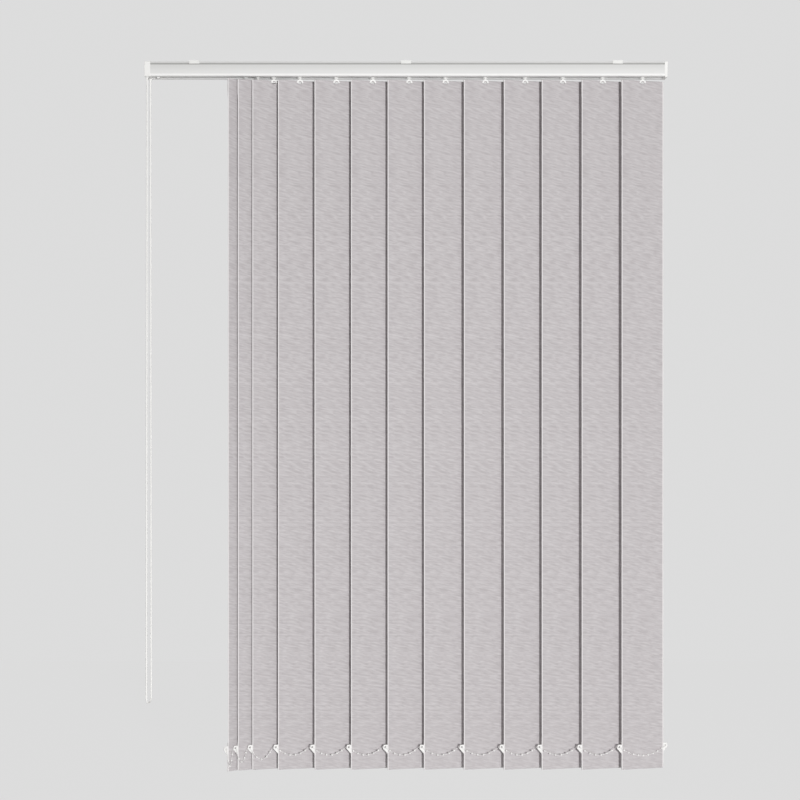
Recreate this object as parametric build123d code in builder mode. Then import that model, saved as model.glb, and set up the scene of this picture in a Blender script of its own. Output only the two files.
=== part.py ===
from build123d import *
import math
import os

# Vertical blind, in millimetres. +Z is up, +X runs along the headrail to the stacking end,
# and the room side faces -Y. The origin is on the fixing plane, over the middle clip.

# Overall sizes and gaps
blind_width = 1041.0
running_gap = 0.3
cut_overrun = 4.0

# Headrail section
rail_height = 29.0
rail_depth = 40.0
rail_wall = 1.6
rail_drop = 2.0
rail_slot = 12.0
slot_lip = 2.4
bead_height = 3.2
groove_height = 3.2
groove_depth = 1.8
lower_lip_radius = 2.6

# End caps
control_cap_length = 11.6
far_cap_length = 6.0
cap_margin = 0.4
cap_corner = 1.4
cap_wall = 2.0
spigot_length = 8.0
far_foot_drop = 1.6
far_foot_depth = 12.0

# Control wheel and cord
wheel_radius = 11.6
wheel_width = 6.0
wheel_groove = 1.8
axle_radius = 2.5
axle_fit = 0.05
cord_radius = 1.7
spout_radius = 3.9
spout_drop = 3.2
cord_front_inset = 4.4
cord_rear_inset = 7.6
cord_leg_y = 12.4
cord_end_lift = 131.5

# Mounting clips
clip_width = 20.0
clip_thickness = 1.2
clip_lip_drop = 6.8
clip_barb = 1.2
clip_spacing = 421.0
screw_radius = 2.2

# Carriers, tilt rod and spacer links
carrier_length = 18.0
carrier_depth = 32.0
carrier_headroom = 6.2
carrier_ground = 5.4
shoe_depth = 6.0
boss_radius = 5.2
rod_radius = 3.0
rod_y = 10.6
rod_below_middle = 0.5
drawn_overhang = 3.2
last_louvre_inset = 3.4
link_width = 4.6
link_thickness = 0.9
link_headroom = 4.4
link_end = 3.4
link_slot = 2.2
pin_x = 7.0
post_width = 3.0
lane_pitch = 6.0
lane_count = 5
stop_inset = 14.4
stop_length = 5.0
stop_height = 3.4
stop_drop = 1.6

# Hooks and hangers
hook_head_radius = 4.9
hook_head_height = 5.6
hook_shaft_radius = 3.4
collar_radius = 5.9
collar_tip_radius = 1.6
collar_flange = 1.3
yoke_width = 5.0
yoke_height = 1.7
claw_thickness = 0.9
claw_drop = 4.6
arch_radius = 6.6
notch_radius = 3.1
notch_rise = 1.0
rear_leg_width = 7.0
nib_height = 1.5
nib_width = 3.0
hanger_width = 82.0
hanger_height = 24.0
hanger_thickness = 1.6

# Louvres and their bottom weights
louvre_width = 89.0
louvre_length = 1375.5
louvre_gap = 6.0
cloth_thickness = 0.45
pocket_gap = 2.2
top_pocket = 30.0
bottom_pocket = 54.5
eyelet_width = 7.0
eyelet_height = 3.6
eyelet_below_top = 2.4
weight_width = 86.0
weight_height = 49.3
weight_thickness = 1.9
weight_lift = 0.8
ear_reach = 9.6
ear_height = 19.6
ear_lean = 1.8
ear_round = 1.2
ear_flank = 7.4
ear_hole_radius = 1.9
ear_hole_reach = 4.7
ear_hole_drop = 4.8

# Bead chain between the weights
bead_radius = 2.0
bead_chamfer = 0.8
bead_length = 3.6
bead_pitch = 11.2
string_width = 0.8
toggle_length = 5.6
toggle_width = 0.9
peg_radius = 0.4

# Places along the rail: each gap between carriers as a share of the taut pitch,
# the louvres' tilts in degrees, and each chain span's sag as a share of the weight's height
pitch_shares = (0.302, 0.395, 0.651, 0.915, 0.915, 0.915, 0.912, 1.0, 1.0, 0.948, 1.0, 1.0)
tilt_angles = (40.0, 28.0, 18.0) + (14.5,) * 10
sag_shares = (0.694, 0.566, 0.475) + (0.308,) * 9 + (0.371,)
louvre_total = len(tilt_angles)
fine_steps = 400

# Worked out from the sizes above
half_width = blind_width / 2
rail_left = control_cap_length - half_width
rail_right = half_width - far_cap_length
rail_top_z = -rail_drop
rail_low_z = rail_top_z - rail_height
rail_mid_z = (rail_top_z + rail_low_z) / 2
inner_depth = rail_depth - 2 * rail_wall
inner_height = rail_height - 2 * rail_wall
groove_z = rail_top_z - bead_height - groove_height / 2
pad_depth = groove_depth + rail_wall
pad_height = groove_height + 2 * rail_wall
pad_y = (rail_depth - pad_depth) / 2
spigot_depth = inner_depth - 2 * running_gap
spigot_height = inner_height - 2 * running_gap
cap_depth = rail_depth + 2 * cap_margin
cap_height = rail_height + 2 * cap_margin
cap_low_z = rail_low_z - cap_margin
cord_front_x = cord_front_inset - half_width
cord_rear_x = cord_rear_inset - half_width
stop_x = rail_left + stop_inset
rod_z = rail_mid_z - rod_below_middle
carrier_top_z = rail_top_z - carrier_headroom
carrier_low_z = rail_low_z + carrier_ground
boss_low_z = rail_low_z + running_gap
link_z = rail_top_z - link_headroom
taut_pitch = (blind_width - louvre_width + drawn_overhang) / (louvre_total - 1)
last_carrier_x = half_width - louvre_width / 2 - last_louvre_inset
louvre_top_z = rail_low_z - louvre_gap
louvre_low_z = louvre_top_z - louvre_length
cord_low_z = louvre_low_z + cord_end_lift
sheet_front = pocket_gap / 2 + cloth_thickness
hook_back = sheet_front + running_gap / 2
hook_front = hook_back + claw_thickness
eyelet_top_z = louvre_top_z - eyelet_below_top
weight_low_z = louvre_low_z + weight_lift
weight_top_z = weight_low_z + weight_height
hole_reach = louvre_width / 2 + ear_hole_reach
hole_z = weight_top_z - ear_hole_drop
step_z = rod_z - hook_head_height / 2
yoke_low_z = louvre_top_z + running_gap
yoke_top_z = yoke_low_z + yoke_height
collar_top_z = rail_low_z - running_gap
ear_x = louvre_width / 2 + ear_reach
span_forward = sheet_front + running_gap + bead_radius

carrier_xs = [last_carrier_x]
for pitch_share in reversed(pitch_shares):
    carrier_xs.insert(0, carrier_xs[0] - pitch_share * taut_pitch)


def along(index):
    """Direction of a louvre's width, from its room-side edge to its window-side edge."""
    turn = math.radians(tilt_angles[index])
    return Vector(math.cos(turn), math.sin(turn), 0)


def facing(index):
    """Direction that a louvre's room side faces."""
    turn = math.radians(tilt_angles[index])
    return Vector(math.sin(turn), -math.cos(turn), 0)


def face_plane(index, forward=0):
    """Upright plane along a louvre's width, moved forward from its axis."""
    origin = Vector(carrier_xs[index], 0, 0) + facing(index) * forward
    return Plane(origin=origin, x_dir=along(index), z_dir=facing(index))


def edge_plane(index):
    """Upright plane across a louvre, with the room side along the sketch's x."""
    return Plane(origin=(carrier_xs[index], 0, 0), x_dir=facing(index), z_dir=-along(index))


def level_plane(index, height):
    """Level plane at a height, turned with a louvre."""
    return Plane(origin=(carrier_xs[index], 0, height), x_dir=along(index), z_dir=(0, 0, 1))


def lane_y(index):
    """Lane of a carrier's spacer link across the rail, so that stacked links pass each other."""
    return (index % lane_count - (lane_count - 1) / 2) * lane_pitch


def ear_point(index, side):
    """Place in front of the hole in one of a weight's ears, where a chain span starts."""
    spot = Vector(carrier_xs[index], 0, hole_z) + along(index) * (side * hole_reach)
    return spot + facing(index) * span_forward


def ear_tip_point(index):
    """Place just outside the room-side ear, where the span before it ends."""
    return Vector(carrier_xs[index], 0, hole_z) - along(index) * (ear_x + running_gap + string_width / 2)


def span_point(start, finish, sag, share):
    """Point of a hanging span, at a share of the way from its start to its finish."""
    level = start + (finish - start) * share
    return level - Vector(0, 0, sag) * (4 * share * (1 - share))


def span_points(start, finish, sag, spacing):
    """Points at even steps along a hanging span, both ends included."""
    fine = [span_point(start, finish, sag, step / fine_steps) for step in range(fine_steps + 1)]
    travelled = [0]
    for before, after in zip(fine, fine[1:]):
        travelled.append(travelled[-1] + (after - before).length)
    steps = max(round(travelled[-1] / spacing), 2)
    points = []
    for step in range(steps + 1):
        target = travelled[-1] * step / steps
        nearest = min(range(len(fine)), key=lambda spot: abs(travelled[spot] - target))
        points.append(fine[nearest])
    return points


os.makedirs("parts", exist_ok=True)

# Headrail: one extrusion with a bead and groove for the clips and a slot for the hooks
with BuildPart() as headrail:
    with BuildSketch(Plane.YZ.offset(rail_left)) as rail_section:
        with Locations((0, rail_mid_z)):
            Rectangle(rail_depth, rail_height)
        fillet(rail_section.vertices().group_by(Axis.Y)[0], lower_lip_radius)
        with Locations((0, rail_mid_z)):
            Rectangle(inner_depth, inner_height, mode=Mode.SUBTRACT)
        with Locations((-pad_y, groove_z), (pad_y, groove_z)):
            Rectangle(pad_depth, pad_height)
        with Locations((-rail_depth / 2, groove_z), (rail_depth / 2, groove_z)):
            Rectangle(2 * groove_depth, groove_height, mode=Mode.SUBTRACT)
        lip_y = (rail_slot + rail_wall) / 2
        with Locations((-lip_y, rail_low_z), (lip_y, rail_low_z)):
            Rectangle(rail_wall, slot_lip + rail_wall, align=(Align.CENTER, Align.MIN))
        with Locations((0, rail_low_z)):
            Rectangle(rail_slot, 2 * (slot_lip + rail_wall), mode=Mode.SUBTRACT)
    extrude(amount=rail_right - rail_left)
headrail.part.label = "headrail"
export_step(headrail.part, "parts/headrail.step")

# Control end: a cup with the wheel's chamber, axle and cord spouts, and a plug inside the rail
with BuildPart() as control_end_cap:
    with BuildSketch(Plane.YZ.offset(-half_width)):
        with Locations((0, rail_mid_z)):
            RectangleRounded(cap_depth, cap_height, cap_corner)
    extrude(amount=control_cap_length)
    fillet(control_end_cap.faces().sort_by(Axis.X)[0].edges(), cap_corner / 2)
    with BuildSketch(Plane.YZ.offset(cap_wall - half_width)):
        with Locations((0, rail_mid_z)):
            Circle(wheel_radius + running_gap)
    extrude(amount=control_cap_length, mode=Mode.SUBTRACT)
    with BuildSketch(Plane.YZ.offset(cap_wall - half_width)):
        with Locations((0, rail_mid_z)):
            Circle(axle_radius)
    extrude(amount=control_cap_length - cap_wall - running_gap)
    for spout_x, spout_y in ((cord_front_x, -cord_leg_y), (cord_rear_x, cord_leg_y)):
        with Locations((spout_x, spout_y, cap_low_z - spout_drop)):
            Cone(cord_radius, spout_radius, spout_drop, align=(Align.CENTER, Align.CENTER, Align.MIN))
    with BuildSketch(Plane.YZ.offset(rail_left + axle_fit)):
        with Locations((0, rail_mid_z)):
            Rectangle(spigot_depth, spigot_height)
        with Locations((-pad_y, groove_z), (pad_y, groove_z)):
            Rectangle(pad_depth + 2 * running_gap, pad_height + 2 * running_gap, mode=Mode.SUBTRACT)
        with Locations((rod_y, rod_z)):
            Circle(rod_radius + axle_fit, mode=Mode.SUBTRACT)
        with Locations((0, rail_low_z)):
            Rectangle(rail_slot + 2 * rail_wall + 2 * running_gap, 2 * (slot_lip + rail_wall + running_gap),
                      mode=Mode.SUBTRACT)
    extrude(amount=spigot_length)
control_end_cap.part.label = "control_end_cap"
export_step(control_end_cap.part, "parts/control_end_cap.step")

# Far end: a thin cap with a plug that carries the tilt rod and a small foot below
with BuildPart() as far_end_cap:
    with BuildSketch(Plane.YZ.offset(rail_right)):
        with Locations((0, rail_mid_z)):
            RectangleRounded(cap_depth, cap_height, cap_corner)
    extrude(amount=far_cap_length)
    fillet(far_end_cap.faces().sort_by(Axis.X)[-1].edges(), cap_corner / 2)
    with BuildSketch(Plane.XY.offset(cap_low_z)):
        with Locations((rail_right + far_cap_length / 2, -(cap_depth - far_foot_depth) / 2)):
            Rectangle(far_cap_length - cap_corner, far_foot_depth - cap_corner)
    extrude(amount=-far_foot_drop)
    with BuildSketch(Plane.YZ.offset(rail_right)):
        with Locations((0, rail_mid_z)):
            Rectangle(spigot_depth, spigot_height)
        with Locations((-pad_y, groove_z), (pad_y, groove_z)):
            Rectangle(pad_depth + 2 * running_gap, pad_height + 2 * running_gap, mode=Mode.SUBTRACT)
        with Locations((0, rail_low_z)):
            Rectangle(rail_slot + 2 * rail_wall + 2 * running_gap, 2 * (slot_lip + rail_wall + running_gap),
                      mode=Mode.SUBTRACT)
    extrude(amount=-spigot_length)
    with BuildSketch(Plane.YZ.offset(rail_right - spigot_length)):
        with Locations((rod_y, rod_z)):
            Circle(rod_radius + axle_fit)
    extrude(amount=spigot_length, mode=Mode.SUBTRACT)
far_end_cap.part.label = "far_end_cap"
export_step(far_end_cap.part, "parts/far_end_cap.step")

# Mounting clips: three spring clips whose barbs sit in the rail's grooves
with BuildPart() as mounting_clips:
    clip_inner = rail_depth / 2 + running_gap
    for clip_x in (-clip_spacing, 0, clip_spacing):
        with BuildSketch(Plane.YZ.offset(clip_x)):
            with BuildLine():
                Polyline(
                    (-clip_inner - clip_thickness, 0),
                    (clip_inner + clip_thickness, 0),
                    (clip_inner + clip_thickness, -clip_lip_drop),
                    (clip_inner, -clip_lip_drop),
                    (clip_inner - clip_barb + running_gap, -rail_drop - bead_height - running_gap),
                    (clip_inner, -rail_drop - bead_height - running_gap),
                    (clip_inner, -clip_thickness),
                    (-clip_inner, -clip_thickness),
                    (-clip_inner, -rail_drop - bead_height - running_gap),
                    (-clip_inner + clip_barb - running_gap, -rail_drop - bead_height - running_gap),
                    (-clip_inner, -clip_lip_drop),
                    (-clip_inner - clip_thickness, -clip_lip_drop),
                    close=True,
                )
            make_face()
        extrude(amount=clip_width / 2, both=True)
        with Locations((clip_x, 0, 0)):
            Hole(screw_radius, depth=clip_thickness)
mounting_clips.part.label = "mounting_clips"
export_step(mounting_clips.part, "parts/mounting_clips.step")

# Carrier stop: a T-shaped lug that snaps into the slot beside the control end
with BuildPart() as carrier_stop:
    stop_head_z = rail_low_z + rail_wall + slot_lip + running_gap
    with BuildSketch(Plane.XY.offset(rail_low_z - stop_drop)):
        with Locations((stop_x, 0)):
            Rectangle(stop_length, rail_slot - 2 * running_gap)
    extrude(amount=stop_head_z - rail_low_z + stop_drop)
    with BuildSketch(Plane.XY.offset(stop_head_z)):
        with Locations((stop_x, 0)):
            Rectangle(stop_length, rail_slot + 2 * rail_wall)
    extrude(amount=stop_height)
carrier_stop.part.label = "carrier_stop"
export_step(carrier_stop.part, "parts/carrier_stop.step")

# Control wheel: a grooved cord wheel on the cap's axle
with BuildPart() as control_wheel:
    wheel_x = cap_wall + running_gap - half_width
    with BuildSketch(Plane.XZ):
        with BuildLine():
            Polyline(
                (wheel_x, rail_mid_z + axle_radius + axle_fit),
                (wheel_x, rail_mid_z + wheel_radius),
                (wheel_x + wheel_width / 2, rail_mid_z + wheel_radius - wheel_groove),
                (wheel_x + wheel_width, rail_mid_z + wheel_radius),
                (wheel_x + wheel_width, rail_mid_z + axle_radius + axle_fit),
                close=True,
            )
        make_face()
    revolve(axis=Axis((0, 0, rail_mid_z), (1, 0, 0)))
control_wheel.part.label = "control_wheel"
export_step(control_wheel.part, "parts/control_wheel.step")

# Tilt rod: a six-sided rod that runs through every carrier
with BuildPart() as tilt_rod:
    with BuildSketch(Plane.YZ.offset(rail_left + running_gap)):
        with Locations((rod_y, rod_z)):
            RegularPolygon(rod_radius, 6)
    extrude(amount=rail_right - rail_left - 2 * running_gap)
tilt_rod.part.label = "tilt_rod"
export_step(tilt_rod.part, "parts/tilt_rod.step")

# Control cord: one endless cord that hangs from both spouts, with its turn at the bottom
cord_top_z = cap_low_z - spout_drop
cord_route = (
    (cord_front_x, -cord_leg_y, cord_top_z),
    (cord_front_x, -cord_leg_y, cord_low_z),
    (cord_rear_x, cord_leg_y, cord_low_z),
    (cord_rear_x, cord_leg_y, cord_top_z),
)
cord_turn_share = 0.45
cord_turn_radius = cord_turn_share * math.hypot(cord_rear_x - cord_front_x, 2 * cord_leg_y)
with BuildPart() as control_cord:
    with BuildLine() as cord_path:
        FilletPolyline(*cord_route, radius=cord_turn_radius)
    with BuildSketch(Plane(origin=cord_route[0], z_dir=(0, 0, -1))):
        Circle(cord_radius)
    sweep(path=cord_path.line)
control_cord.part.label = "control_cord"
export_step(control_cord.part, "parts/control_cord.step")

# Chain bead: one six-sided bead with chamfered ends, threaded along every span
with BuildPart() as bead:
    with BuildSketch():
        RegularPolygon(bead_radius, 6)
    extrude(amount=bead_length / 2, both=True)
    chamfer(bead.faces().filter_by(Axis.Z).edges(), bead_chamfer)

for index in range(louvre_total):
    number = f"{index + 1:02d}"
    carrier_x = carrier_xs[index]

    # Carrier: a glide with a gear chamber, a rod channel and its spacer link towards the lead end
    with BuildPart() as carrier:
        with BuildSketch(Plane.XY.offset(carrier_low_z)):
            with Locations((carrier_x, 0)):
                Rectangle(carrier_length, carrier_depth)
        extrude(amount=carrier_top_z - carrier_low_z)
        shoe_low_z = rail_low_z + rail_wall + running_gap
        shoe_y = (carrier_depth - shoe_depth) / 2
        with BuildSketch(Plane.XY.offset(shoe_low_z)):
            with Locations((carrier_x, -shoe_y), (carrier_x, shoe_y)):
                Rectangle(carrier_length, shoe_depth)
        extrude(amount=carrier_low_z - shoe_low_z)
        with BuildSketch(Plane.XY.offset(carrier_low_z)):
            with Locations((carrier_x, 0)):
                RegularPolygon(boss_radius, 8)
        extrude(amount=boss_low_z - carrier_low_z)
        chamber = 2 * (hook_head_radius + running_gap)
        with BuildSketch(Plane.XY.offset(step_z)):
            with Locations((carrier_x, 0)):
                Rectangle(chamber, chamber)
        extrude(amount=carrier_top_z - step_z, mode=Mode.SUBTRACT)
        with BuildSketch(Plane.XY.offset(boss_low_z)):
            with Locations((carrier_x, 0)):
                Circle(hook_shaft_radius + running_gap)
        extrude(amount=step_z - boss_low_z, mode=Mode.SUBTRACT)
        tunnel = 2 * (rod_radius + running_gap)
        with BuildSketch(Plane.XY.offset(rod_z - tunnel / 2)):
            with Locations((carrier_x, rod_y)):
                Rectangle(carrier_length, tunnel)
        extrude(amount=tunnel, mode=Mode.SUBTRACT)
        if index > 0:
            slot_near = carrier_length - pin_x
            slot_far = taut_pitch - pin_x + link_slot / 2
            with BuildSketch(Plane.XY.offset(link_z)):
                with Locations((carrier_x + pin_x + link_end, lane_y(index))):
                    Rectangle(taut_pitch + 2 * link_end, link_width, align=(Align.MAX, Align.CENTER))
                with Locations((carrier_x - slot_near, lane_y(index))):
                    Rectangle(slot_far - slot_near, link_slot, align=(Align.MAX, Align.CENTER),
                              mode=Mode.SUBTRACT)
            extrude(amount=link_thickness)
            with BuildSketch(Plane.XY.offset(carrier_top_z)):
                with Locations((carrier_x + pin_x, lane_y(index))):
                    Rectangle(post_width, post_width)
            extrude(amount=link_z - carrier_top_z)
        if index < louvre_total - 1:
            pin_width = link_slot - 2 * running_gap
            with BuildSketch(Plane.XY.offset(carrier_top_z)):
                with Locations((carrier_x + pin_x, lane_y(index + 1))):
                    Rectangle(pin_width, pin_width)
            extrude(amount=link_z + link_thickness + running_gap - carrier_top_z)
    carrier.part.label = f"carrier_{number}"
    export_step(carrier.part, f"parts/carrier_{number}.step")

    # Hook and hanger: the hook's head sits in the carrier, its claws straddle the louvre's top,
    # and its nib carries the stiff hanger inside the louvre's top pocket
    with BuildPart() as hook:
        with BuildSketch(level_plane(index, step_z + running_gap)):
            RegularPolygon(hook_head_radius, 8)
        extrude(amount=hook_head_height)
        with BuildSketch(level_plane(index, step_z + running_gap)):
            Circle(hook_shaft_radius)
        extrude(amount=collar_top_z - step_z - running_gap)
        with Locations((carrier_x, 0, collar_top_z)):
            Cylinder(collar_radius, collar_flange, align=(Align.CENTER, Align.CENTER, Align.MAX))
        with Locations((carrier_x, 0, yoke_top_z)):
            Cone(collar_tip_radius, collar_radius, collar_top_z - collar_flange - yoke_top_z,
                 align=(Align.CENTER, Align.CENTER, Align.MIN))
        with BuildSketch(level_plane(index, yoke_low_z)):
            Rectangle(yoke_width, 2 * hook_front)
        extrude(amount=yoke_height)
        claw_low_z = louvre_top_z - claw_drop
        with BuildSketch(face_plane(index, hook_back)):
            with Locations((0, claw_low_z)):
                Circle(arch_radius)
                Rectangle(2 * arch_radius, arch_radius, align=(Align.CENTER, Align.MAX), mode=Mode.SUBTRACT)
            with Locations((0, claw_low_z + notch_rise)):
                Circle(notch_radius, mode=Mode.SUBTRACT)
                Rectangle(2 * notch_radius, notch_rise, align=(Align.CENTER, Align.MAX), mode=Mode.SUBTRACT)
        extrude(amount=claw_thickness)
        nib_top_z = eyelet_top_z - running_gap
        with BuildSketch(face_plane(index, -hook_front)):
            with Locations((0, yoke_low_z)):
                Rectangle(rear_leg_width, yoke_low_z - nib_top_z + nib_height, align=(Align.CENTER, Align.MAX))
        extrude(amount=claw_thickness)
        with BuildSketch(face_plane(index, -hook_back)):
            with Locations((0, nib_top_z)):
                Rectangle(nib_width, nib_height, align=(Align.CENTER, Align.MAX))
        extrude(amount=hook_back + hanger_thickness / 2)
        hanger_top_z = louvre_top_z - cloth_thickness - running_gap
        with BuildSketch(face_plane(index, -hanger_thickness / 2)):
            with Locations((0, hanger_top_z)):
                Rectangle(hanger_width, hanger_height, align=(Align.CENTER, Align.MAX))
            with Locations((0, eyelet_top_z)):
                Rectangle(eyelet_width, eyelet_height, align=(Align.CENTER, Align.MAX), mode=Mode.SUBTRACT)
        extrude(amount=hanger_thickness)
    hook.part.label = f"hook_{number}"
    export_step(hook.part, f"parts/hook_{number}.step")

    # Louvre: one strip of cloth folded back into a top and a bottom pocket, its bottom weight,
    # and the toggle behind the ear that carries the chain
    with BuildPart() as louvre:
        with BuildSketch(edge_plane(index)):
            with BuildLine():
                Polyline(
                    (sheet_front, louvre_low_z),
                    (sheet_front, louvre_top_z),
                    (-sheet_front, louvre_top_z),
                    (-sheet_front, louvre_top_z - top_pocket),
                    (pocket_gap / 2, louvre_top_z - top_pocket - pocket_gap),
                    (pocket_gap / 2, louvre_low_z + bottom_pocket + pocket_gap),
                    (-sheet_front, louvre_low_z + bottom_pocket),
                    (-sheet_front, louvre_low_z),
                    close=True,
                )
            make_face()
            with Locations((0, louvre_top_z - cloth_thickness)):
                Rectangle(pocket_gap, top_pocket - 2 * cloth_thickness, align=(Align.CENTER, Align.MAX),
                          mode=Mode.SUBTRACT)
            with Locations((0, louvre_low_z + cloth_thickness)):
                Rectangle(pocket_gap, bottom_pocket - 2 * cloth_thickness, align=(Align.CENTER, Align.MIN),
                          mode=Mode.SUBTRACT)
        extrude(amount=louvre_width / 2, both=True)
        with BuildSketch(face_plane(index, -cut_overrun)):
            with Locations((0, eyelet_top_z)):
                Rectangle(eyelet_width, eyelet_height, align=(Align.CENTER, Align.MAX))
        extrude(amount=2 * cut_overrun, mode=Mode.SUBTRACT)
        with BuildSketch(face_plane(index, -weight_thickness / 2)) as weight_section:
            with BuildLine():
                Polyline((0, weight_top_z), (ear_x - ear_lean, weight_top_z), (ear_x, weight_top_z - ear_flank),
                         (weight_width / 2, weight_top_z - ear_height), (weight_width / 2, weight_low_z),
                         (0, weight_low_z), close=True)
            make_face()
            fillet(weight_section.vertices().group_by(Axis.X)[-2:], ear_round)
            with Locations((hole_reach, hole_z)):
                Circle(ear_hole_radius, mode=Mode.SUBTRACT)
            mirror(about=Plane.YZ)
        extrude(amount=weight_thickness)
        last = index == louvre_total - 1
        toggle_front = -weight_thickness / 2 - axle_fit
        for side in (-1, 1) if last else (-1,):
            with BuildSketch(face_plane(index, toggle_front)):
                with Locations((side * hole_reach, hole_z)):
                    Rectangle(toggle_width, toggle_length)
            extrude(amount=-toggle_width)
            with BuildSketch(face_plane(index, toggle_front)):
                with Locations((side * hole_reach, hole_z)):
                    Circle(peg_radius)
            extrude(amount=span_forward - string_width / 2 - running_gap - toggle_front)
    louvre.part.label = f"louvre_{number}"
    export_step(louvre.part, f"parts/louvre_{number}.step")

    # Chain span: beads on a string, from this weight's ear to the next one's, or across the last louvre
    start = ear_point(index, -1)
    finish = ear_point(index, 1) if last else ear_tip_point(index + 1)
    with BuildPart() as chain:
        points = span_points(start, finish, sag_shares[index] * weight_height, bead_pitch)
        for before, after in zip(points, points[1:]):
            with BuildSketch(Plane(origin=before, z_dir=after - before)):
                Rectangle(string_width, string_width)
            extrude(amount=(after - before).length)
        spots = zip(points, points[1:], points[2:])
        with Locations(*[Plane(origin=spot, z_dir=after - before) for before, spot, after in spots]):
            add(bead.part)
    chain.part.label = f"chain_{number}"
    export_step(chain.part, f"parts/chain_{number}.step")

print("cord turn radius", round(cord_turn_radius, 2), "cord diameter", 2 * cord_radius)
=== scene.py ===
import math

import bmesh
import bpy
import numpy as np
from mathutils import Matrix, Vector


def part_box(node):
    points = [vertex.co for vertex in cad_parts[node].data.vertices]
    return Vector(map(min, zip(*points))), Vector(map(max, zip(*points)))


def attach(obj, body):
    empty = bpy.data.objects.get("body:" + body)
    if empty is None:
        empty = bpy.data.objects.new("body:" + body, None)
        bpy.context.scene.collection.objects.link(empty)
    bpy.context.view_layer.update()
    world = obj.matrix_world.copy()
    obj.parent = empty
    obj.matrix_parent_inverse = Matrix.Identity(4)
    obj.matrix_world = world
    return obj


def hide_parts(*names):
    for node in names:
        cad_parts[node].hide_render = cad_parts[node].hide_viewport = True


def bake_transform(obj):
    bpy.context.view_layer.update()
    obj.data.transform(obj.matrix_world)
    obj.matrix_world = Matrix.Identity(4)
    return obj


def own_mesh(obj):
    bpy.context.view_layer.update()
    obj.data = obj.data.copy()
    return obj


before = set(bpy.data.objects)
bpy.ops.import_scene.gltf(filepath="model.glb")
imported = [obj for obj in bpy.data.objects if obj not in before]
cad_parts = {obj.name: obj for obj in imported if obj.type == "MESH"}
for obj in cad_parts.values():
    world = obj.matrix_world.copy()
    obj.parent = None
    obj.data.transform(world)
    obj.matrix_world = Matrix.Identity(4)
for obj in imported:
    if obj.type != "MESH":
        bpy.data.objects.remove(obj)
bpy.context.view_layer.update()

# Vertical blind, in metres: cloth louvres with weights and a bead chain, under a slotted headrail.

MM = 0.001

# Sizes that the part's source drives
LOUVRE_TOTAL = 13
TILTS = np.radians([40.0, 28.0, 18.0] + [14.5] * 10)
LOUVRE_WIDTH = 89 * MM
CLOTH = 0.45 * MM
POCKET_GAP = 2.2 * MM
TOP_POCKET = 30 * MM
BOTTOM_POCKET = 54.5 * MM
EYELET_WIDTH = 7 * MM
EYELET_HEIGHT = 3.6 * MM
EYELET_BELOW_TOP = 2.4 * MM
WEIGHT_WIDTH = 86 * MM
WEIGHT_HEIGHT = 49.3 * MM
WEIGHT_THICKNESS = 1.9 * MM
WEIGHT_LIFT = 0.8 * MM
EAR_REACH = 9.6 * MM
EAR_HEIGHT = 19.6 * MM
EAR_LEAN = 1.8 * MM
EAR_FLANK = 7.4 * MM
EAR_SOFT = 1.0 * MM
EAR_HOLE_RADIUS = 1.9 * MM
EAR_HOLE_REACH = 4.7 * MM
EAR_HOLE_DROP = 4.8 * MM
RUNNING_GAP = 0.3 * MM
BEAD_RADIUS = 2.0 * MM
BEAD_PITCH = 11.2 * MM
STRING_WIDTH = 0.8 * MM
TOGGLE_LENGTH = 5.6 * MM
TOGGLE_WIDTH = 0.9 * MM
TOGGLE_FIT = 0.05 * MM
PEG_RADIUS = 0.4 * MM
SAG_SHARES = (0.694, 0.566, 0.475) + (0.308,) * 9 + (0.371,)
RAIL_DEPTH = 40 * MM
GROOVE_HEIGHT = 3.2 * MM
GROOVE_Z = -6.8 * MM
CORD_RADIUS = 1.7 * MM
CORD_FRONT = (-516.1 * MM, -12.4 * MM)
CORD_REAR = (-512.9 * MM, 12.4 * MM)
CORD_TOP_Z = -34.6 * MM
CORD_LOW_Z = -1281.0 * MM

# Sizes that only the visual pieces have
LAP_START = 3 * MM
LAP_END = 7 * MM
LAP_EASE = 0.5 * MM
LAP_CLEARANCE = 0.05 * MM
HEM_EASE = 2 * MM
SEAM_RISE = 8 * MM
POCKET_TO_BOW = 12 * MM
LONG_BOW, LONG_BOW_RATE = 0.30, 5.2
SHORT_BOW, SHORT_BOW_RATE = 0.16, 11.0
EDGE_STIFFNESS = 0.6
EDGE_CUP = 0.35
WEIGHT_RIM = 0.25 * MM
BEAD_LENGTH_SHARE = 0.94
STRING_RADIUS_SHARE = 0.4
TURN_ROOM = 1.6 * MM
CORD_SPREAD = 1.4 * MM
CORD_LEAD = 12 * CORD_RADIUS
MERGE = 0.002 * MM
SPECK = 0.001 * MM
OFF_RUN = np.array([0.13, 0.97, 0.21])

# How finely the visual pieces are divided
FOLD_STEPS = 9
FRONT_STEPS = 120
HEM_STEPS = 8
CORNER_STEPS = 5
HOLE_SIDES = 20
SPAN_STEPS = 401
STRING_EVERY = 10
STRING_SIDES = 8
BEAD_SIDES, BEAD_RINGS = 10, 7
TOGGLE_STEPS, TOGGLE_SIDES = 6, 10

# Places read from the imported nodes
louvre_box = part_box("louvre_13")
TOP_Z, LOW_Z = louvre_box[1].z, louvre_box[0].z
hook_boxes = [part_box(f"hook_{n + 1:02d}") for n in range(LOUVRE_TOTAL)]
LOUVRE_X = np.array([(low.x + high.x) / 2 for low, high in hook_boxes])
SHEET_FRONT = POCKET_GAP / 2 + CLOTH
WEIGHT_LOW_Z = LOW_Z + WEIGHT_LIFT
WEIGHT_TOP_Z = WEIGHT_LOW_Z + WEIGHT_HEIGHT
HOLE_Z = WEIGHT_TOP_Z - EAR_HOLE_DROP
HOLE_REACH = LOUVRE_WIDTH / 2 + EAR_HOLE_REACH
EAR_X = LOUVRE_WIDTH / 2 + EAR_REACH
SPAN_FORWARD = SHEET_FRONT + RUNNING_GAP + BEAD_RADIUS
UV_SPAN = 1.5

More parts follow.
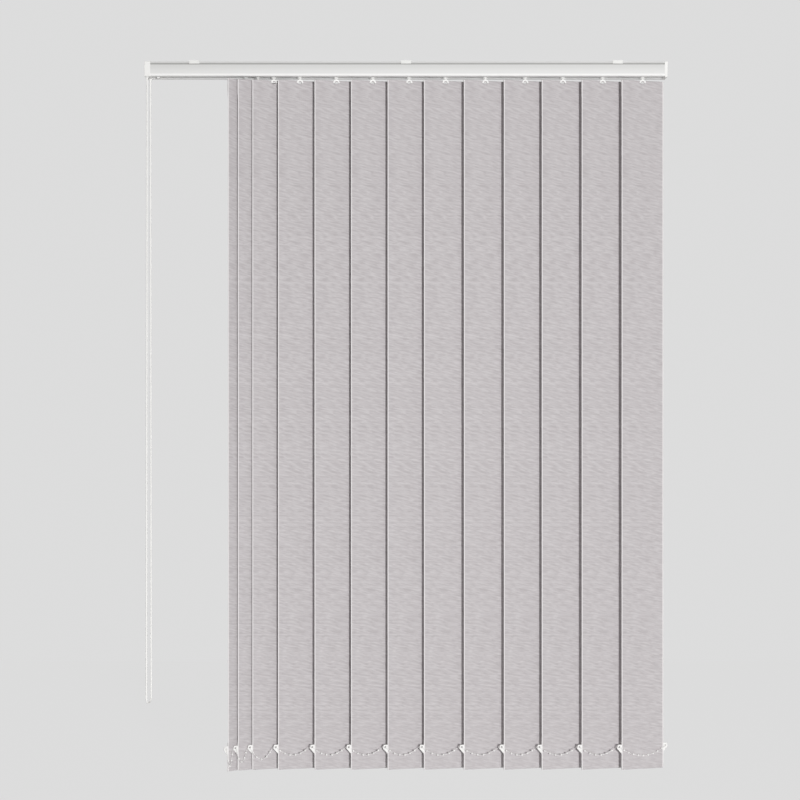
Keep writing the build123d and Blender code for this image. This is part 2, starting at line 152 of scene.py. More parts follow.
# Tones and textures of the finishes
NOISE_MIDDLE = 0.5
GLOSS_SWING = 0.2
HARD_RELIEF = 0.1 * MM
RAIL_WHITE = (0.80, 0.80, 0.792)
# Painted shade: the rail face darker towards its top
RAIL_TOP_SHADE, TOP_SHADE_BAND = (0.69, 0.69, 0.682), (-26 * MM, -8 * MM)
# Painted highlight: a pale band along the rail's lower lip
RAIL_LIP_HIGHLIGHT, LIP_HIGHLIGHT_BAND = (0.94, 0.94, 0.93), (-25.6 * MM, -27.2 * MM)
# Painted shade inside the clip groove
GROOVE_SHADE = (0.44, 0.44, 0.43)
GROOVE_BEHIND = 0.2 * MM
GROOVE_MARGIN = 0.1 * MM
SLUB_LEAN = math.radians(-11)
SLUB_STRETCH = (52, 300, 1)
SLUB_BAND = (0.32, 0.68)
SLUB_RELIEF_SHARE = 2.0
CLOTH_DARK, CLOTH_PALE = (0.500, 0.470, 0.480), (0.632, 0.606, 0.615)
CLOTH_RELIEF = 0.08 * MM
# Pale band along both long edges: partly the paler cut edge, partly a painted highlight
CLOTH_EDGE_HIGHLIGHT, EDGE_INSETS, EDGE_SHARE = (0.90, 0.88, 0.88), (2.4 * MM, 0.8 * MM), 0.95
WAVE_RATE = 20
THREAD_STEPS = (("X", 0.62 * MM), ("Y", 0.74 * MM))
PLAIT_LEAN = math.radians(38)
PLAIT_SCALE = 130
CORD_SHADE, CORD_WHITE = (0.95, 0.94, 0.92), (0.97, 0.965, 0.95)
CORD_RELIEF = 0.1 * MM


# Materials

def node(tree, kind, values=None, **settings):
    """One shader node, with its plain settings and the values of its input sockets."""
    made = tree.nodes.new(kind)
    for key, value in settings.items():
        setattr(made, key, value)
    for socket, value in (values or {}).items():
        made.inputs[socket].default_value = value
    return made


def group_tree(name, inputs, outputs):
    """An empty shader group with named input values and output sockets."""
    tree = bpy.data.node_groups.new(name, "ShaderNodeTree")
    for label, kind, value in inputs:
        socket = tree.interface.new_socket(label, in_out="INPUT", socket_type=kind)
        if value is not None:
            socket.default_value = value
    for label, kind in outputs:
        tree.interface.new_socket(label, in_out="OUTPUT", socket_type=kind)
    return tree, node(tree, "NodeGroupInput"), node(tree, "NodeGroupOutput")


def math_node(tree, operation, first, second):
    """A sum, product or other operation of two values, each a socket or a number."""
    made = node(tree, "ShaderNodeMath", operation=operation)
    for slot, value in enumerate((first, second)):
        if isinstance(value, (int, float)):
            made.inputs[slot].default_value = value
        else:
            tree.links.new(value, made.inputs[slot])
    return made.outputs[0]


def distance_from(tree, value, middle):
    """How far a value lies from a middle one, to either side."""
    return math_node(tree, "ABSOLUTE", math_node(tree, "SUBTRACT", value, middle), 0.0)


def band_mask(tree, value, low, high, curve="SMOOTHSTEP"):
    """A mask that rises from 0 at the low value to 1 at the high one, or falls if low is larger."""
    ramp = node(tree, "ShaderNodeMapRange", {"From Min": low, "From Max": high},
                interpolation_type=curve)
    tree.links.new(value, ramp.inputs["Value"])
    return ramp.outputs["Result"]


def tint(tree, colour, tone, mask):
    """A tone laid by a mask over a colour, which is a socket or a tone itself."""
    mixed = node(tree, "ShaderNodeMix", data_type="RGBA")
    mixed.inputs["B"].default_value = (*tone, 1)
    tree.links.new(mask, mixed.inputs["Factor"])
    if isinstance(colour, tuple):
        mixed.inputs["A"].default_value = (*colour, 1)
    else:
        tree.links.new(colour, mixed.inputs["A"])
    return mixed.outputs["Result"]


def add_relief(tree, surface, height, strength, depth):
    """Fine relief on a shader's normal, from a height value."""
    relief = node(tree, "ShaderNodeBump", {"Strength": strength, "Distance": depth})
    tree.links.new(height, relief.inputs["Height"])
    tree.links.new(relief.outputs["Normal"], surface.inputs["Normal"])


def make_moulding_grain():
    """Cloudy tone, fine grain and uneven gloss of a moulded or painted white surface."""
    tree, given, out = group_tree(
        "moulding_grain",
        [("Vector", "NodeSocketVector", None), ("Colour", "NodeSocketColor", (0.8, 0.8, 0.8, 1)),
         ("Cloud Scale", "NodeSocketFloat", 30.0), ("Grain Scale", "NodeSocketFloat", 1500.0),
         ("Spread", "NodeSocketFloat", 0.04), ("Gloss", "NodeSocketFloat", 0.35)],
        [("Colour", "NodeSocketColor"), ("Roughness", "NodeSocketFloat"),
         ("Height", "NodeSocketFloat")])
    cloud = node(tree, "ShaderNodeTexNoise", {"Detail": 3})
    grain = node(tree, "ShaderNodeTexNoise", {"Detail": 2})
    for texture, scale in ((cloud, "Cloud Scale"), (grain, "Grain Scale")):
        tree.links.new(given.outputs["Vector"], texture.inputs["Vector"])
        tree.links.new(given.outputs[scale], texture.inputs["Scale"])
    swing = math_node(tree, "SUBTRACT", cloud.outputs["Fac"], NOISE_MIDDLE)
    tone = math_node(tree, "ADD", math_node(tree, "MULTIPLY", swing, given.outputs["Spread"]), 1.0)
    tinted = node(tree, "ShaderNodeVectorMath", operation="SCALE")
    tree.links.new(given.outputs["Colour"], tinted.inputs[0])
    tree.links.new(tone, tinted.inputs["Scale"])
    tree.links.new(tinted.outputs[0], out.inputs["Colour"])
    ripple = math_node(tree, "SUBTRACT", grain.outputs["Fac"], NOISE_MIDDLE)
    polish = math_node(tree, "MULTIPLY", ripple, GLOSS_SWING)
    tree.links.new(math_node(tree, "ADD", polish, given.outputs["Gloss"]), out.inputs["Roughness"])
    tree.links.new(grain.outputs["Fac"], out.inputs["Height"])
    return tree


moulding_grain = make_moulding_grain()


def new_finish(name):
    """An empty material and its principled shader."""
    material = bpy.data.materials.new(name)
    material.use_nodes = True
    tree = material.node_tree
    return material, tree, tree.nodes["Principled BSDF"]


def hard_finish(name, colour, gloss, spread, clouds, grain, bump, metallic=0.0):
    """A moulded, painted or drawn surface, from the shared grain with its own values."""
    material, tree, surface = new_finish(name)
    place = node(tree, "ShaderNodeTexCoord")
    grained = node(tree, "ShaderNodeGroup", node_tree=moulding_grain, values={
        "Colour": (*colour, 1), "Cloud Scale": clouds, "Grain Scale": grain,
        "Spread": spread, "Gloss": gloss})
    tree.links.new(place.outputs["Object"], grained.inputs["Vector"])
    tree.links.new(grained.outputs["Colour"], surface.inputs["Base Color"])
    tree.links.new(grained.outputs["Roughness"], surface.inputs["Roughness"])
    add_relief(tree, surface, grained.outputs["Height"], bump, HARD_RELIEF)
    surface.inputs["Metallic"].default_value = metallic
    return material


def rail_finish():
    """Painted rail: the shared grain, painted shade that darkens its face towards the top and fills
    the clip groove, and a painted highlight on the lower lip.
    """
    material = hard_finish("rail_paint", RAIL_WHITE, gloss=0.56, spread=0.03, clouds=14,
                           grain=900, bump=0.06)
    tree = material.node_tree
    surface = tree.nodes["Principled BSDF"]
    spot = node(tree, "ShaderNodeTexCoord")
    place = node(tree, "ShaderNodeSeparateXYZ")
    tree.links.new(spot.outputs["Object"], place.inputs["Vector"])
    depth, height = place.outputs["Y"], place.outputs["Z"]
    colour = surface.inputs["Base Color"].links[0].from_socket
    # Painted shade: the rail face darkens towards its top
    colour = tint(tree, colour, RAIL_TOP_SHADE, band_mask(tree, height, *TOP_SHADE_BAND))
    # Painted highlight: a pale band along the lower lip
    colour = tint(tree, colour, RAIL_LIP_HIGHLIGHT, band_mask(tree, height, *LIP_HIGHLIGHT_BAND))
    # Painted shade: the clip groove darkened where it lies behind the rail face
    behind = math_node(tree, "LESS_THAN", distance_from(tree, depth, 0.0),
                       RAIL_DEPTH / 2 - GROOVE_BEHIND)
    in_groove = math_node(tree, "LESS_THAN", distance_from(tree, height, GROOVE_Z),
                          GROOVE_HEIGHT / 2 + GROOVE_MARGIN)
    colour = tint(tree, colour, GROOVE_SHADE, math_node(tree, "MULTIPLY", behind, in_groove))
    tree.links.new(colour, surface.inputs["Base Color"])
    return material


def cloth_finish():
    """Woven polyester: slanting slub streaks, warp and weft, and a pale band along both long edges,
    partly the paler cut edge and partly a painted highlight.

    All of it lies on the strip's own map. A thread step is its pitch over 2 pi."""
    material, tree, surface = new_finish("louvre_cloth")
    strip = node(tree, "ShaderNodeUVMap", uv_map="UVMap")
    slant = node(tree, "ShaderNodeMapping",
                 {"Rotation": (0, 0, SLUB_LEAN), "Scale": (UV_SPAN, UV_SPAN, 1)})
    tree.links.new(strip.outputs["UV"], slant.inputs["Vector"])
    stretch = node(tree, "ShaderNodeMapping", {"Scale": SLUB_STRETCH})
    tree.links.new(slant.outputs["Vector"], stretch.inputs["Vector"])
    slub = node(tree, "ShaderNodeTexNoise",
                {"Scale": 1, "Detail": 3, "Roughness": 0.55, "Distortion": 0.5})
    tree.links.new(stretch.outputs["Vector"], slub.inputs["Vector"])
    streaks = band_mask(tree, slub.outputs["Fac"], *SLUB_BAND, curve="LINEAR")
    colour = tint(tree, CLOTH_DARK, CLOTH_PALE, streaks)
    across = node(tree, "ShaderNodeSeparateXYZ")
    tree.links.new(strip.outputs["UV"], across.inputs["Vector"])
    half_share = LOUVRE_WIDTH / 2 / UV_SPAN
    from_middle = distance_from(tree, across.outputs["X"], half_share)
    rim_band = [half_share - inset / UV_SPAN for inset in EDGE_INSETS]
    rim = band_mask(tree, from_middle, *rim_band, curve="LINEAR")
    # Pale band along both long edges: partly the paler cut edge, partly a painted highlight
    colour = tint(tree, colour, CLOTH_EDGE_HIGHLIGHT, math_node(tree, "MULTIPLY", rim, EDGE_SHARE))
    tree.links.new(colour, surface.inputs["Base Color"])
    threads = []
    for direction, step in THREAD_STEPS:
        thread = node(tree, "ShaderNodeTexWave", wave_type="BANDS", bands_direction=direction,
                      values={"Scale": UV_SPAN / step / WAVE_RATE, "Distortion": 0.6, "Detail": 1})
        tree.links.new(strip.outputs["UV"], thread.inputs["Vector"])
        threads.append(thread.outputs["Fac"])
    woven = math_node(tree, "ADD", *threads)
    streak_height = math_node(tree, "MULTIPLY", slub.outputs["Fac"], SLUB_RELIEF_SHARE)
    add_relief(tree, surface, math_node(tree, "ADD", woven, streak_height), 0.25, CLOTH_RELIEF)
    surface.inputs["Roughness"].default_value = 0.88
    surface.inputs["Specular IOR Level"].default_value = 0.25
    return material


def cord_finish():
    """Braided white cord: crossing diagonal plaits that wind round the cord's line."""
    material, tree, surface = new_finish("braided_cord")
    place = node(tree, "ShaderNodeTexCoord")
    plaits = []
    for lean in (PLAIT_LEAN, -PLAIT_LEAN):
        turned = node(tree, "ShaderNodeMapping", {"Rotation": (lean, lean, 0)})
        tree.links.new(place.outputs["Object"], turned.inputs["Vector"])
        plait = node(tree, "ShaderNodeTexWave", wave_type="BANDS", bands_direction="Z",
                     values={"Scale": PLAIT_SCALE, "Distortion": 0.8})
        tree.links.new(turned.outputs["Vector"], plait.inputs["Vector"])
        plaits.append(plait.outputs["Fac"])
    weave = math_node(tree, "MAXIMUM", *plaits)
    tree.links.new(tint(tree, CORD_SHADE, CORD_WHITE, weave), surface.inputs["Base Color"])
    add_relief(tree, surface, weave, 0.12, CORD_RELIEF)
    surface.inputs["Roughness"].default_value = 0.7
    return material


rail_paint = rail_finish()
cap_white = hard_finish("cap_white", (0.92, 0.915, 0.90), gloss=0.52, spread=0.03, clouds=40,
                        grain=1400, bump=0.08)
clip_white = hard_finish("clip_white", (0.86, 0.86, 0.84), gloss=0.46, spread=0.04, clouds=60,
                         grain=1500, bump=0.08)
hook_white = hard_finish("hook_white", (0.92, 0.92, 0.905), gloss=0.28, spread=0.04, clouds=120,
                         grain=2200, bump=0.06)
carrier_grey = hard_finish("carrier_grey", (0.70, 0.70, 0.69), gloss=0.45, spread=0.05, clouds=60,
                           grain=1500, bump=0.10)
weight_white = hard_finish("weight_white", (0.92, 0.915, 0.90), gloss=0.30, spread=0.04, clouds=80,
                           grain=1800, bump=0.08)
chain_white = hard_finish("chain_white", (0.93, 0.925, 0.91), gloss=0.25, spread=0.04, clouds=200,
                          grain=2500, bump=0.05)
rod_metal = hard_finish("rod_metal", (0.62, 0.62, 0.63), gloss=0.34, spread=0.06, clouds=25,
                        grain=1200, bump=0.10, metallic=1.0)
louvre_cloth = cloth_finish()
braided_cord = cord_finish()


# Shapes

def new_object(name, data):
    """An object at the origin that holds the given data, in the scene."""
    made = bpy.data.objects.new(name, data)
    bpy.context.scene.collection.objects.link(made)
    return made


def grid_faces(rows, columns, start=0, closed=False):
    """Quads of a grid, numbered row by row; closed joins its last column to its first."""
    spans = columns if closed else columns - 1
    row, column = np.meshgrid(np.arange(rows - 1), np.arange(spans), indexing="ij")
    after = (column + 1) % columns
    corners = (row * columns + column, row * columns + after,
               (row + 1) * columns + after, (row + 1) * columns + column)
    return start + np.stack(corners, -1).reshape(-1, 4)


def make_piece(name, points, faces, material, slot, smooth=True, uv=None):
    """A mesh piece at the origin from points and faces, with its map where the cloth needs one."""
    mesh = bpy.data.meshes.new(name)
    corners = [list(map(int, face)) for face in faces]
    mesh.from_pydata(np.asarray(points).reshape(-1, 3).tolist(), [], corners)
    if uv is not None:
        spots = np.empty(len(mesh.loops), np.int32)
        mesh.loops.foreach_get("vertex_index", spots)
        mapped = uv.reshape(-1, 2)[spots].astype(np.float32)
        mesh.uv_layers.new(name="UVMap").data.foreach_set("uv", mapped.ravel())
    mesh.polygons.foreach_set("use_smooth", np.full(len(mesh.polygons), smooth))
    mesh.materials.append(material)
    piece = new_object(name, mesh)
    return piece


def close_mesh(mesh):
    """Merges the doubled points of a mesh, drops its specks and turns its faces outwards."""
    edit = bmesh.new()
    edit.from_mesh(mesh)
    bmesh.ops.remove_doubles(edit, verts=edit.verts, dist=MERGE)
    bmesh.ops.dissolve_degenerate(edit, edges=edit.edges, dist=SPECK)
    bmesh.ops.recalc_face_normals(edit, faces=edit.faces)
    edit.to_mesh(mesh)
    edit.free()


def on_louvre(index, across, forward, height):
    """Points on a louvre's own axes: across its width, forward from its mid-plane, and up."""
    turn = TILTS[index]
    x = LOUVRE_X[index] + across * math.cos(turn) + forward * math.sin(turn)
    y = across * math.sin(turn) - forward * math.cos(turn)
    return np.stack(np.broadcast_arrays(x, y, height), -1)


def folded_strip():
    """Side profile of the cloth strip, as (forward, height) rows from the top weld to the bottom one.

    It goes over the top, down the front and round the bottom: straight runs joined by two half
    circles whose radius is half the pocket's depth."""
    half = SHEET_FRONT - CLOTH / 2
    lap = half - CLOTH - LAP_CLEARANCE
    top, low = TOP_Z - CLOTH / 2, LOW_Z + CLOTH / 2
    top_seam, low_seam = TOP_Z - TOP_POCKET, LOW_Z + BOTTOM_POCKET
    eye_top = TOP_Z - EYELET_BELOW_TOP
    eye_low = eye_top - EYELET_HEIGHT
    turn = np.linspace(0, math.pi, FOLD_STEPS)
    over = np.stack([-half * np.cos(turn), top - half + half * np.sin(turn)], -1)
    under = np.stack([half * np.cos(turn), low + half - half * np.sin(turn)], -1)
    before = [(lap, top_seam - LAP_END), (lap, top_seam - LAP_START), (-half, top_seam + LAP_EASE),
              (-half, TOP_Z - TOP_POCKET * 0.6), (-half, eye_low), (-half, eye_top)]
    front = np.linspace(eye_low, low_seam + SEAM_RISE, FRONT_STEPS)
    run = np.stack([np.full_like(front, half), front], -1)
    pocket = np.linspace(low_seam, low + half + HEM_EASE, HEM_STEPS)
    hem = np.stack([np.full_like(pocket, half), pocket], -1)
    after = [(-half, low + half + HEM_EASE), (-half, LOW_Z + BOTTOM_POCKET * 0.5),
             (-half, low_seam - LAP_EASE), (lap, low_seam + LAP_START), (lap, low_seam + LAP_END)]
    return np.concatenate([before, over, [(half, eye_top)], run, hem, under, after])


STRIP = folded_strip()
STRIP_LENGTHS = np.concatenate([[0], np.cumsum(np.hypot(*np.diff(STRIP, axis=0).T))])
EYE_HALF = EYELET_WIDTH / 2
SIDE_COLUMNS = np.array([7, 12, 18, 24, 30, 36, 41, 43.2, 44.1, 44.5]) * MM
COLUMNS = np.concatenate([-SIDE_COLUMNS[::-1], [-EYE_HALF, EYE_HALF], SIDE_COLUMNS])
EYE_COLUMN = len(SIDE_COLUMNS)
bow_draw = np.random.default_rng(7)
BOW_PHASES = bow_draw.uniform(0, 2 * math.pi, (LOUVRE_TOTAL, 2))


def louvre_sheet(index):
    """The folded strip carried along the louvre's width.

    Between the pockets the sheet bows by two slow waves along its length and cups a little towards
    its edges."""
    forward, height = STRIP[:, 0, None], STRIP[:, 1, None]
    across = COLUMNS[None, :]
    free_top = TOP_Z - TOP_POCKET - POCKET_TO_BOW
    free_low = LOW_Z + BOTTOM_POCKET + POCKET_TO_BOW
    share = np.clip((free_top - height) / (free_top - free_low), 0, 1)
    slack = np.sin(math.pi * share) ** 0.5 * (share > 0) * (share < 1)
    edge = (across / (LOUVRE_WIDTH / 2)) ** 2
    first, second = BOW_PHASES[index]
    wave = (LONG_BOW * np.sin(LONG_BOW_RATE * share + first)
            + SHORT_BOW * np.sin(SHORT_BOW_RATE * share + second))
    bow = MM * slack * (wave * (1 - EDGE_STIFFNESS * edge) - EDGE_CUP * edge)
    points = on_louvre(index, across + 0 * height, forward + bow, height + 0 * across)
    faces = grid_faces(len(STRIP), len(COLUMNS))
    middle = points.reshape(-1, 3)[faces].mean(1)
    column = np.tile(np.arange(len(COLUMNS) - 1), len(STRIP) - 1)
    eye_middle = TOP_Z - EYELET_BELOW_TOP - EYELET_HEIGHT / 2
    in_eye = (column == EYE_COLUMN) & (abs(middle[:, 2] - eye_middle) < EYELET_HEIGHT * 0.4)
    uv = np.stack(np.broadcast_arrays((across + LOUVRE_WIDTH / 2) / UV_SPAN,
                                      STRIP_LENGTHS[:, None] / UV_SPAN), -1)
    sheet = make_piece(f"louvre_cloth_{index + 1:02d}", points, faces[~in_eye], louvre_cloth,
                       "louvre_cloth", uv=uv)
    body = sheet.modifiers.new("cloth_thickness", "SOLIDIFY")
    body.thickness = CLOTH
    body.offset = 0
    return sheet


def circle(sides):
    """Cosines and sines of even turns round a circle."""
    turn = np.linspace(0, 2 * math.pi, sides, endpoint=False)
    return np.cos(turn), np.sin(turn)


def weight_outline():
    """Outline of the bottom weight with its two ears, and the ears' holes, as (across, height) loops.

    Each ear corner is a parabola between two points on its sides."""
    share = np.linspace(0, 1, CORNER_STEPS)[:, None]
    top, tip, root = np.array([(EAR_X - EAR_LEAN, WEIGHT_TOP_Z), (EAR_X, WEIGHT_TOP_Z - EAR_FLANK),
                               (WEIGHT_WIDTH / 2, WEIGHT_TOP_Z - EAR_HEIGHT)])
    rounds = []
    for before, corner, after in (((0, WEIGHT_TOP_Z), top, tip), (top, tip, root)):
        start, finish = (corner + EAR_SOFT * (side - corner) / np.linalg.norm(side - corner)
                         for side in (before, after))
        rounds.append((1 - share) ** 2 * start + 2 * share * (1 - share) * corner
                      + share ** 2 * finish)
    right = np.concatenate([*rounds, [root, (WEIGHT_WIDTH / 2, WEIGHT_LOW_Z)]])
    cosine, sine = circle(HOLE_SIDES)
    holes = [np.stack([side * HOLE_REACH + EAR_HOLE_RADIUS * cosine,
                       HOLE_Z + EAR_HOLE_RADIUS * sine], -1) for side in (-1, 1)]
    return np.concatenate([right, right[::-1] * (-1, 1)]), *holes


def weight_shape():
    """The weight's outline thickened with a rounded rim, in its own axes."""
    drawn = bpy.data.curves.new("weight_outline", "CURVE")
    drawn.dimensions = "2D"
    drawn.fill_mode = "BOTH"
    drawn.extrude = WEIGHT_THICKNESS / 2 - WEIGHT_RIM
    drawn.bevel_depth = WEIGHT_RIM
    drawn.bevel_resolution = 2
    drawn.offset = -WEIGHT_RIM
    for loop in weight_outline():
        spline = drawn.splines.new("POLY")
        spline.points.add(len(loop) - 1)
        flat = np.column_stack([loop, np.zeros(len(loop)), np.ones(len(loop))])
        spline.points.foreach_set("co", flat.ravel())
        spline.use_cyclic_u = True
    holder = new_object("weight_outline", drawn)
    bpy.context.view_layer.update()
    mesh = bpy.data.meshes.new_from_object(holder)
    bpy.data.objects.remove(holder)
    close_mesh(mesh)
    return np.array([v.co for v in mesh.vertices]), [list(face.vertices) for face in mesh.polygons]


def unit_run(line):
    """Unit direction of a line at each of its points."""
    run = np.gradient(line, axis=0)
    return run / np.linalg.norm(run, axis=1, keepdims=True)


def ring_axes(run):
    """Unit side and up directions, square to each run direction."""
    side = np.cross(run, OFF_RUN)
    side /= np.linalg.norm(side, axis=1, keepdims=True)
    return side, np.cross(side, run)


def swept_tube(line, radius, sides):
    """A circle carried along a line, its ends closed to their middle points."""
    side, up = ring_axes(unit_run(line))
    cosine, sine = circle(sides)
    ring = side[:, None] * cosine[:, None] + up[:, None] * sine[:, None]
    points = line[:, None] + radius * ring
    first, last = (np.repeat(end[:, None], sides, 1) for end in (line[:1], line[-1:]))
    closed = np.concatenate([first, points, last])
    return closed.reshape(-1, 3), grid_faces(len(line) + 2, sides, closed=True)


def bead_string(spots, runs):
    """One oval bead at each spot: half-circle radii carried round the run direction."""
    lift = np.linspace(0, math.pi, BEAD_RINGS)
    side, up = ring_axes(runs)
    cosine, sine = circle(BEAD_SIDES)
    radial = side[:, None, None] * cosine[:, None] + up[:, None, None] * sine[:, None]
    reach = (BEAD_RADIUS * BEAD_LENGTH_SHARE * np.cos(lift))[:, None, None]
    body = spots[:, None, None] - runs[:, None, None] * reach
    points = body + radial * (BEAD_RADIUS * np.sin(lift))[:, None, None]
    faces = [grid_faces(BEAD_RINGS, BEAD_SIDES, spot * BEAD_RINGS * BEAD_SIDES, True)
             for spot in range(len(spots))]
    return points.reshape(-1, 3), np.concatenate(faces)


def ear_toggle(index, side):
    """A toggle bar behind an ear and its peg through the hole.

    Both are round rods, each a circle carried along a line."""
    back = -WEIGHT_THICKNESS / 2 - TOGGLE_FIT - TOGGLE_WIDTH / 2
    across = side * HOLE_REACH
    rise = np.linspace(-0.5, 0.5, TOGGLE_STEPS) * TOGGLE_LENGTH
    reach = np.linspace(back, SPAN_FORWARD - STRING_WIDTH / 2 - RUNNING_GAP, TOGGLE_STEPS)
    upright = on_louvre(index, across, back, HOLE_Z + rise)
    through = on_louvre(index, across, reach, HOLE_Z)
    bar, bar_faces = swept_tube(upright, TOGGLE_WIDTH / 2, TOGGLE_SIDES)
    peg, peg_faces = swept_tube(through, PEG_RADIUS, TOGGLE_SIDES)
    return np.concatenate([bar, peg]), np.concatenate([bar_faces, peg_faces + len(bar)])


def chain_ends(index):
    """Start and finish of a span: in front of an ear, and beside the next louvre's ear.

    The last span ends in front of the last louvre's far ear. The first span ends a little further
    forward, so that the second louvre's ear turns clear of it."""
    start = on_louvre(index, -HOLE_REACH, SPAN_FORWARD, HOLE_Z)
    if index == LOUVRE_TOTAL - 1:
        return start, on_louvre(index, HOLE_REACH, SPAN_FORWARD, HOLE_Z)
    finish = on_louvre(index + 1, -(EAR_X + RUNNING_GAP + STRING_WIDTH / 2), 0, HOLE_Z)
    return start, finish - (0, TURN_ROOM if index == 0 else 0, 0)


def chain_span(index):
    """Beads on a string along a parabola that sags between two ears."""
    start, finish = chain_ends(index)
    share = np.linspace(0, 1, SPAN_STEPS)[:, None]
    sag = np.array([0, 0, SAG_SHARES[index] * WEIGHT_HEIGHT])
    line = start + (finish - start) * share - sag * (4 * share * (1 - share))
    steps_along = np.linalg.norm(np.diff(line, axis=0), axis=1)
    travelled = np.concatenate([[0], np.cumsum(steps_along)])
    steps = max(round(travelled[-1] / BEAD_PITCH), 2)
    at = np.searchsorted(travelled, travelled[-1] * np.arange(1, steps) / steps)
    string, string_faces = swept_tube(line[::STRING_EVERY], STRING_RADIUS_SHARE * STRING_WIDTH,
                                      STRING_SIDES)
    beads, bead_faces = bead_string(line[at], unit_run(line)[at])
    span = make_piece(f"chain_span_{index + 1:02d}", np.concatenate([string, beads]),
                      np.concatenate([string_faces, bead_faces + len(string)]),
                      chain_white, "chain_plastic")
    close_mesh(span.data)
    return span, start, finish


# Louvres with their weights

weight_points, weight_faces = weight_shape()
for index in range(LOUVRE_TOTAL):
    number = f"{index + 1:02d}"
    weight = make_piece(
        f"bottom_weight_{number}",
        on_louvre(index, weight_points[:, 0], weight_points[:, 2], weight_points[:, 1]),
        weight_faces, weight_white, "chain_plastic", smooth=False)
    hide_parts(f"louvre_{number}")
    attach(weight, f"louvre_{number}")
    for side in (-1, 1) if index == LOUVRE_TOTAL - 1 else (-1,):
        side_name = "far" if side > 0 else "near"
        toggle = make_piece(f"{side_name}_toggle_{number}", *ear_toggle(index, side),
                            chain_white, "chain_plastic")
        close_mesh(toggle.data)
        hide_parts(f"louvre_{number}")
        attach(toggle, f"louvre_{number}")
    sheet = louvre_sheet(index)
    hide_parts(f"louvre_{number}")
    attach(sheet, f"louvre_{number}")

# Chain spans between the ears: the last rides on the last louvre, the one before on its chain body,
# and the rest stay where they are drawn
for index in range(LOUVRE_TOTAL):
    number = f"{index + 1:02d}"
    span, start, finish = chain_span(index)
    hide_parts(f"chain_{number}")
    if index < LOUVRE_TOTAL - 2:
        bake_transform(span)
    elif index == LOUVRE_TOTAL - 2:
        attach(span, f"chain_{number}")
        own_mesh(span)
    else:
        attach(span, f"louvre_{number}")

# Control cord: its two legs and the turn that joins them at the bottom
leg_gap = math.dist(CORD_FRONT, CORD_REAR)
front_hang = (CORD_FRONT[0] - CORD_SPREAD, CORD_FRONT[1])
rear_hang = (CORD_REAR[0] + CORD_SPREAD, CORD_REAR[1])
cord_route = [
    (*CORD_FRONT, CORD_TOP_Z), (*CORD_FRONT, CORD_TOP_Z - CORD_LEAD),
    (*front_hang, CORD_LOW_Z + leg_gap), (*front_hang, CORD_LOW_Z),
    (*rear_hang, CORD_LOW_Z), (*rear_hang, CORD_LOW_Z + leg_gap),
    (*CORD_REAR, CORD_TOP_Z - CORD_LEAD), (*CORD_REAR, CORD_TOP_Z)]
cord_line = bpy.data.curves.new("control_cord_braid", "CURVE")
cord_line.dimensions = "3D"
cord_line.bevel_depth = CORD_RADIUS
cord_line.bevel_resolution = 4
cord_line.resolution_u = 12
cord_spline = cord_line.splines.new("NURBS")
cord_spline.points.add(len(cord_route) - 1)
for point, place in zip(cord_spline.points, cord_route):
    point.co = (*place, 1)
cord_spline.order_u = 3
cord_spline.use_endpoint_u = True
cord_line.materials.append(braided_cord)
control_cord = new_object("control_cord_braid", cord_line)
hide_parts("control_cord")
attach(control_cord, "headrail")

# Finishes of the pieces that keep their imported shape
FINISHES = {"headrail": rail_paint, "control_end_cap": cap_white, "far_end_cap": cap_white,
            "mounting_clips": clip_white, "carrier_stop": cap_white, "control_wheel": carrier_grey,
            "tilt_rod": rod_metal}
for index in range(LOUVRE_TOTAL):
    FINISHES[f"carrier_{index + 1:02d}"] = carrier_grey
    FINISHES[f"hook_{index + 1:02d}"] = hook_white
for name, finish in FINISHES.items():
    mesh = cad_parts[name].data
    mesh.materials.clear()
    mesh.materials.append(finish)

# Studio: floor, world, lamps and camera
GROUND = 0.72
SOFT_WHITE, SOFT_STRENGTH = (1.0, 0.99, 0.98), 0.27
FLOOR_GLOW = 0.747
FLOOR_GLOW_SHARE = 0.9
FLOOR_TONE = 0.9
FLOOR_Z = -1.47
FLOOR_REACH = 2.0
CAMERA_DISTANCE = 3.5
CAMERA_FIELD = 1.6
CAMERA_SENSOR = 36
CAMERA_SHIFT = 0.0273
CAMERA_X, CAMERA_Z = -0.012, -0.719


def grey(tone):
    """A plain grey as a shader colour."""
    return tone, tone, tone, 1


def pale_mix(tree, lit, glow, output):
    """The pale ground that the camera and reflections see, over the surface that lights the object."""
    path = node(tree, "ShaderNodeLightPath")
    seen = math_node(tree, "MAXIMUM", path.outputs["Is Camera Ray"], path.outputs["Is Glossy Ray"])
    seen = math_node(tree, "MAXIMUM", seen, path.outputs["Is Transmission Ray"])
    mixed = node(tree, "ShaderNodeMixShader")
    tree.links.new(seen, mixed.inputs["Fac"])
    tree.links.new(lit, mixed.inputs[1])
    tree.links.new(glow, mixed.inputs[2])
    tree.links.new(mixed.outputs[0], output.inputs["Surface"])


def make_world():
    """Even soft light from all round, with a pale ground behind the object."""
    world = bpy.data.worlds.new("studio")
    world.use_nodes = True
    tree = world.node_tree
    soft = tree.nodes["Background"]
    soft.inputs["Color"].default_value = (*SOFT_WHITE, 1)
    soft.inputs["Strength"].default_value = SOFT_STRENGTH
    ground = node(tree, "ShaderNodeBackground", {"Color": grey(GROUND)})
    pale_mix(tree, soft.outputs[0], ground.outputs[0], tree.nodes["World Output"])
    bpy.context.scene.world = world


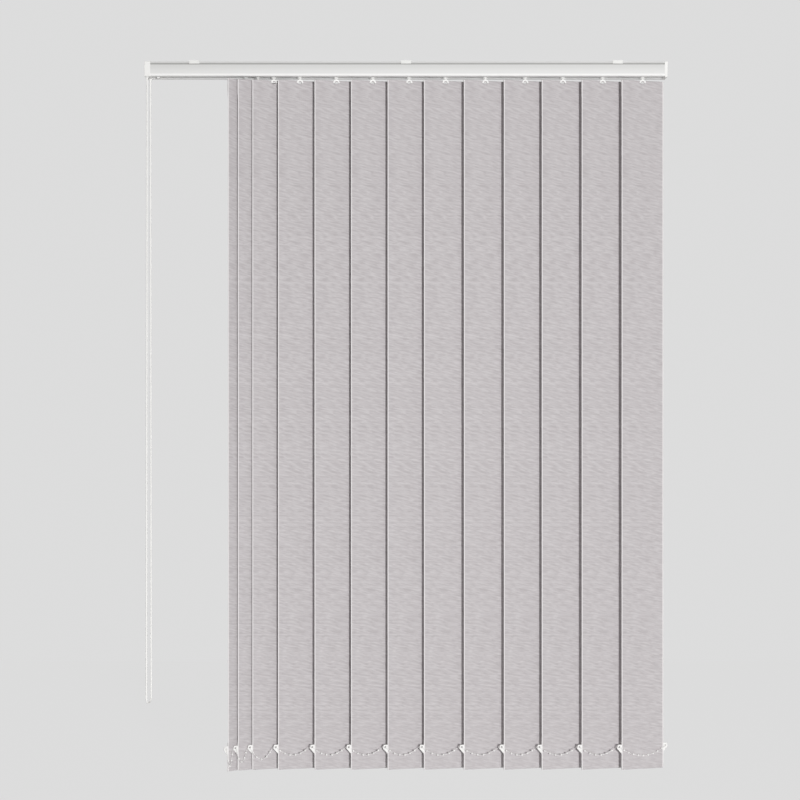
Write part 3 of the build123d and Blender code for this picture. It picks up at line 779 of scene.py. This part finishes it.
def make_floor():
    """A pale floor below the louvres that keeps a soft shadow."""
    corners = [(x * FLOOR_REACH, y * FLOOR_REACH, FLOOR_Z)
               for x, y in ((-1, -1), (1, -1), (1, 1), (-1, 1))]
    material, tree, surface = new_finish("floor_pale")
    surface.inputs["Base Color"].default_value = grey(FLOOR_TONE)
    surface.inputs["Roughness"].default_value = 0.9
    glow = node(tree, "ShaderNodeEmission", {"Color": grey(FLOOR_GLOW)})
    part = node(tree, "ShaderNodeMixShader", {"Fac": FLOOR_GLOW_SHARE})
    tree.links.new(surface.outputs[0], part.inputs[1])
    tree.links.new(glow.outputs[0], part.inputs[2])
    pale_mix(tree, surface.outputs[0], part.outputs[0], tree.nodes["Material Output"])
    mesh = bpy.data.meshes.new("floor")
    mesh.from_pydata(corners, [], [(0, 1, 2, 3)])
    mesh.materials.append(material)
    floor = new_object("floor", mesh)


def make_lamp(name, kind, power, lean, turn, **settings):
    """A lamp that leans from straight down and turns about the vertical, in degrees."""
    lamp = bpy.data.lights.new(name, kind)
    lamp.energy = power
    for key, value in settings.items():
        setattr(lamp, key, value)
    holder = new_object(name, lamp)
    holder.rotation_euler = (math.radians(lean), 0, math.radians(turn))
    return holder


def make_key_lamp():
    """A square lamp in front and to the right, at the height of the blind's middle.

    So it also lights under the rail. It is turned past the middle, which evens the light along
    the rail."""
    lamp = make_lamp("key_lamp", "AREA", power=258, lean=90, turn=29, size=0.5)
    lamp.location = (1.55, -6.0, -0.62)
    lamp.visible_camera = False


def make_back_lamp():
    """A wide sun lamp from behind and above, for the back of the louvres."""
    make_lamp("back_lamp", "SUN", power=0.8, lean=55, turn=205, angle=math.radians(30))


def make_camera():
    """Level camera square to the blind, at the photograph's distance and framing."""
    lens = bpy.data.cameras.new("camera")
    lens.sensor_width = CAMERA_SENSOR
    lens.lens = CAMERA_SENSOR * CAMERA_DISTANCE / CAMERA_FIELD
    lens.shift_y = CAMERA_SHIFT
    holder = new_object("camera", lens)
    holder.location = (CAMERA_X, -CAMERA_DISTANCE, CAMERA_Z)
    holder.rotation_euler = (math.radians(90), 0, 0)
    bpy.context.scene.camera = holder


make_world()
make_floor()
make_key_lamp()
make_back_lamp()
make_camera()
bpy.context.scene.view_settings.view_transform = "Standard"
